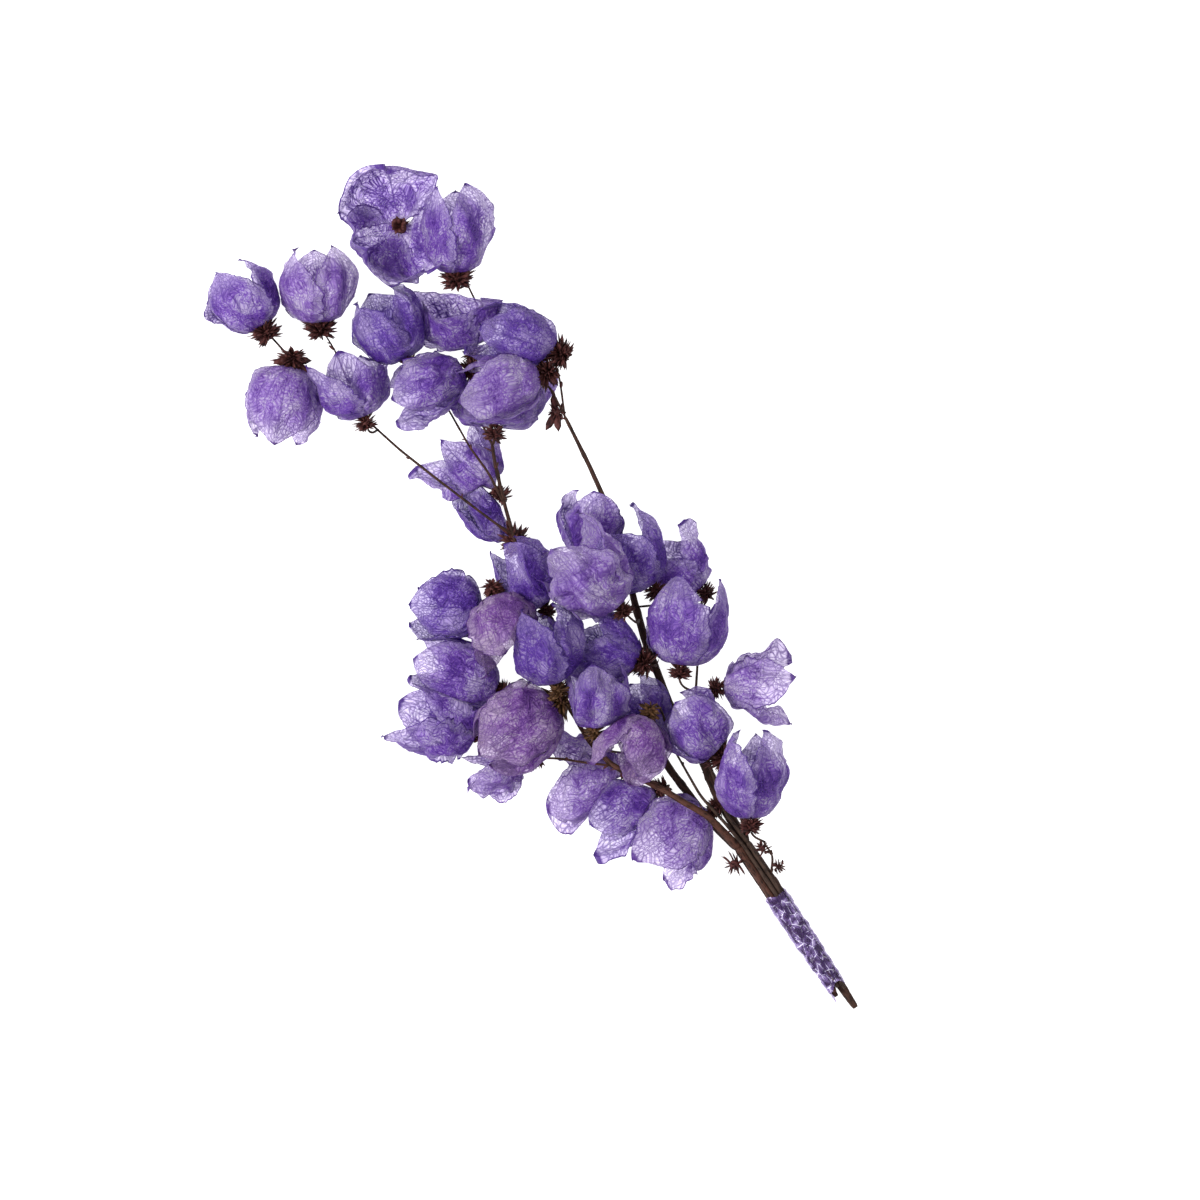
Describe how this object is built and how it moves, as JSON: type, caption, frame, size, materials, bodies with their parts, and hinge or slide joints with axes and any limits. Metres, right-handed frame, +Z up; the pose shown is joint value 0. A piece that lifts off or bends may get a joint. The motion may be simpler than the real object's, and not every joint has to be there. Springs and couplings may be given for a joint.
{
  "type": "dried bougainvillea bunch",
  "caption": "Cut bunch of dried violet bougainvillea with papery balloon heads on wiry brown stems, bound with film near the cut ends.",
  "frame": {"origin": "centre of the bunch's box on the surface it lies on", "axes": "+Y along the stems from the cut ends towards the farthest heads, +Z up from the surface, +X to the right when seen from above with +Y away"},
  "size_m": [0.1468, 0.3849, 0.0494],
  "materials": {
    "bract_violet": "dry, thin, net-veined and translucent",
    "bark_dark": "dull dried bark with bristly tufts",
    "bark_reddish": "dull dried reddish bark with bristly tufts",
    "bark_grey": "dull dried bark with bristly tufts",
    "bark_brown": "dull dried bark with bristly tufts",
    "film_violet": "thin crinkled glossy film"
  },
  "bodies": {
    "root": {"head_01": "bract_violet", "head_02": "bract_violet", "head_03": "bract_violet", "head_04": "bract_violet", "head_05": "bract_violet", "head_06": "bract_violet", "head_07": "bract_violet", "head_08": "bract_violet", "head_09": "bract_violet", "head_10": "bract_violet", "head_11": "bract_violet", "head_12": "bract_violet", "head_13": "bract_violet", "head_14": "bract_violet", "head_15": "bract_violet", "head_16": "bract_violet", "head_17": "bract_violet", "head_18": "bract_violet", "head_19": "bract_violet", "head_20": "bract_violet", "head_21": "bract_violet", "head_22": "bract_violet", "head_23": "bract_violet", "head_24": "bract_violet", "head_25": "bract_violet", "head_26": "bract_violet", "head_27": "bract_violet", "head_28": "bract_violet", "head_29": "bract_violet", "head_30": "bract_violet", "head_31": "bract_violet", "head_32": "bract_violet", "head_33": "bract_violet", "head_34": "bract_violet", "head_35": "bract_violet", "head_36": "bract_violet", "head_37": "bract_violet", "stem_long_dark": "bark_dark", "stem_reddish": "bark_reddish", "stem_thin_grey": "bark_grey", "stem_thick_dark": "bark_brown", "stem_right_wiry": "bark_grey", "stem_short_brown": "bark_brown", "binding_film": "film_violet"}
  },
  "joints": []
}
